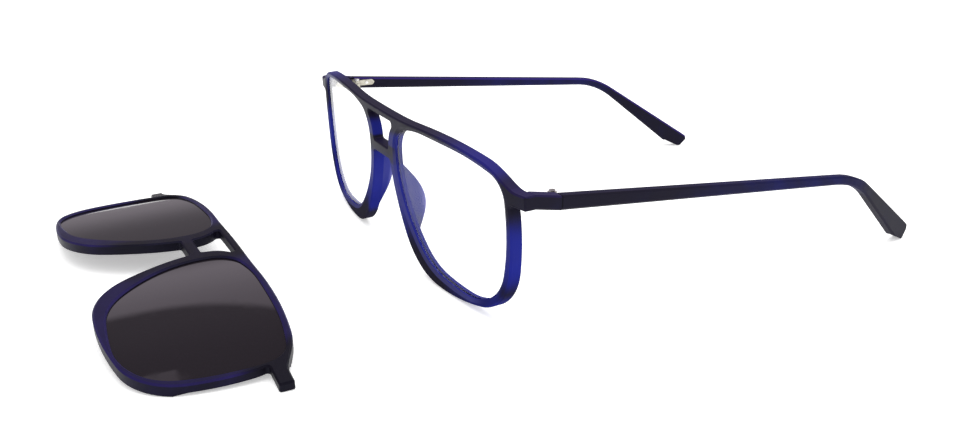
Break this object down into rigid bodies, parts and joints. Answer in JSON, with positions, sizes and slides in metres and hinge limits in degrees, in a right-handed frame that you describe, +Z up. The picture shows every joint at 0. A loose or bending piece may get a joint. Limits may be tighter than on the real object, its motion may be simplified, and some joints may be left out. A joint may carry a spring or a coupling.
{
  "type": "spectacles with magnetic sun clip",
  "caption": "Rectangular plastic spectacles with a double bridge and hinged folding temples, beside a separate magnetic clip-on sun lens frame of the same outline.",
  "frame": {"origin": "on the table, under the middle of the footprint of the glasses and the clip together", "axes": "+X towards the wearer's left, +Y from the front back along the open temples, +Z up from the table; the face of the glasses looks along -Y"},
  "size_m": [0.1422, 0.2355, 0.0434],
  "materials": {
    "frame_plastic": "matte translucent navy, nearly black where thick and royal blue in thin rims",
    "temple_plastic": "matte navy with a soft sheen",
    "clip_plastic": "matte navy-black with bevelled inner edges",
    "clear_lens": "clear polished demonstration lens",
    "sun_lens": "dark grey-brown polished sun lens",
    "hinge_metal": "bright pressed nickel silver",
    "screw_metal": "bright turned steel",
    "magnet": "nickel-plated"
  },
  "bodies": {
    "front": {"front_frame": "frame_plastic", "lens_left": "clear_lens", "lens_right": "clear_lens", "front_magnet_left": "magnet", "front_magnet_right": "magnet", "front_hinge_left": "hinge_metal", "front_hinge_right": "hinge_metal", "front_leaf_screw_left": "screw_metal", "front_leaf_screw_right": "screw_metal", "hinge_screw_left": "screw_metal", "hinge_screw_right": "screw_metal"},
    "temple_left": {"temple_left": "temple_plastic", "temple_hinge_left": "hinge_metal", "temple_leaf_screw_left": "screw_metal"},
    "temple_right": {"temple_right": "temple_plastic", "temple_hinge_right": "hinge_metal", "temple_leaf_screw_right": "screw_metal"},
    "clip": {"clip_frame": "clip_plastic", "clip_lens_left": "sun_lens", "clip_lens_right": "sun_lens", "clip_magnet_left": "magnet", "clip_magnet_right": "magnet"}
  },
  "joints": [
    {"name": "temple_left_fold", "type": "hinge", "parent": "front", "child": "temple_left", "pos_m": [0.06585, -0.0151, 0.03426], "axis": [0, 0, 1], "range_deg": [0, 88]},
    {"name": "temple_right_fold", "type": "hinge", "parent": "front", "child": "temple_right", "pos_m": [-0.06315, -0.0151, 0.03426], "axis": [0, 0, -1], "range_deg": [0, 82]},
    {"name": "clip_lift", "type": "slide", "parent": "front", "child": "clip", "axis": [0, 0, 1], "range_m": [0, 0.06]}
  ]
}
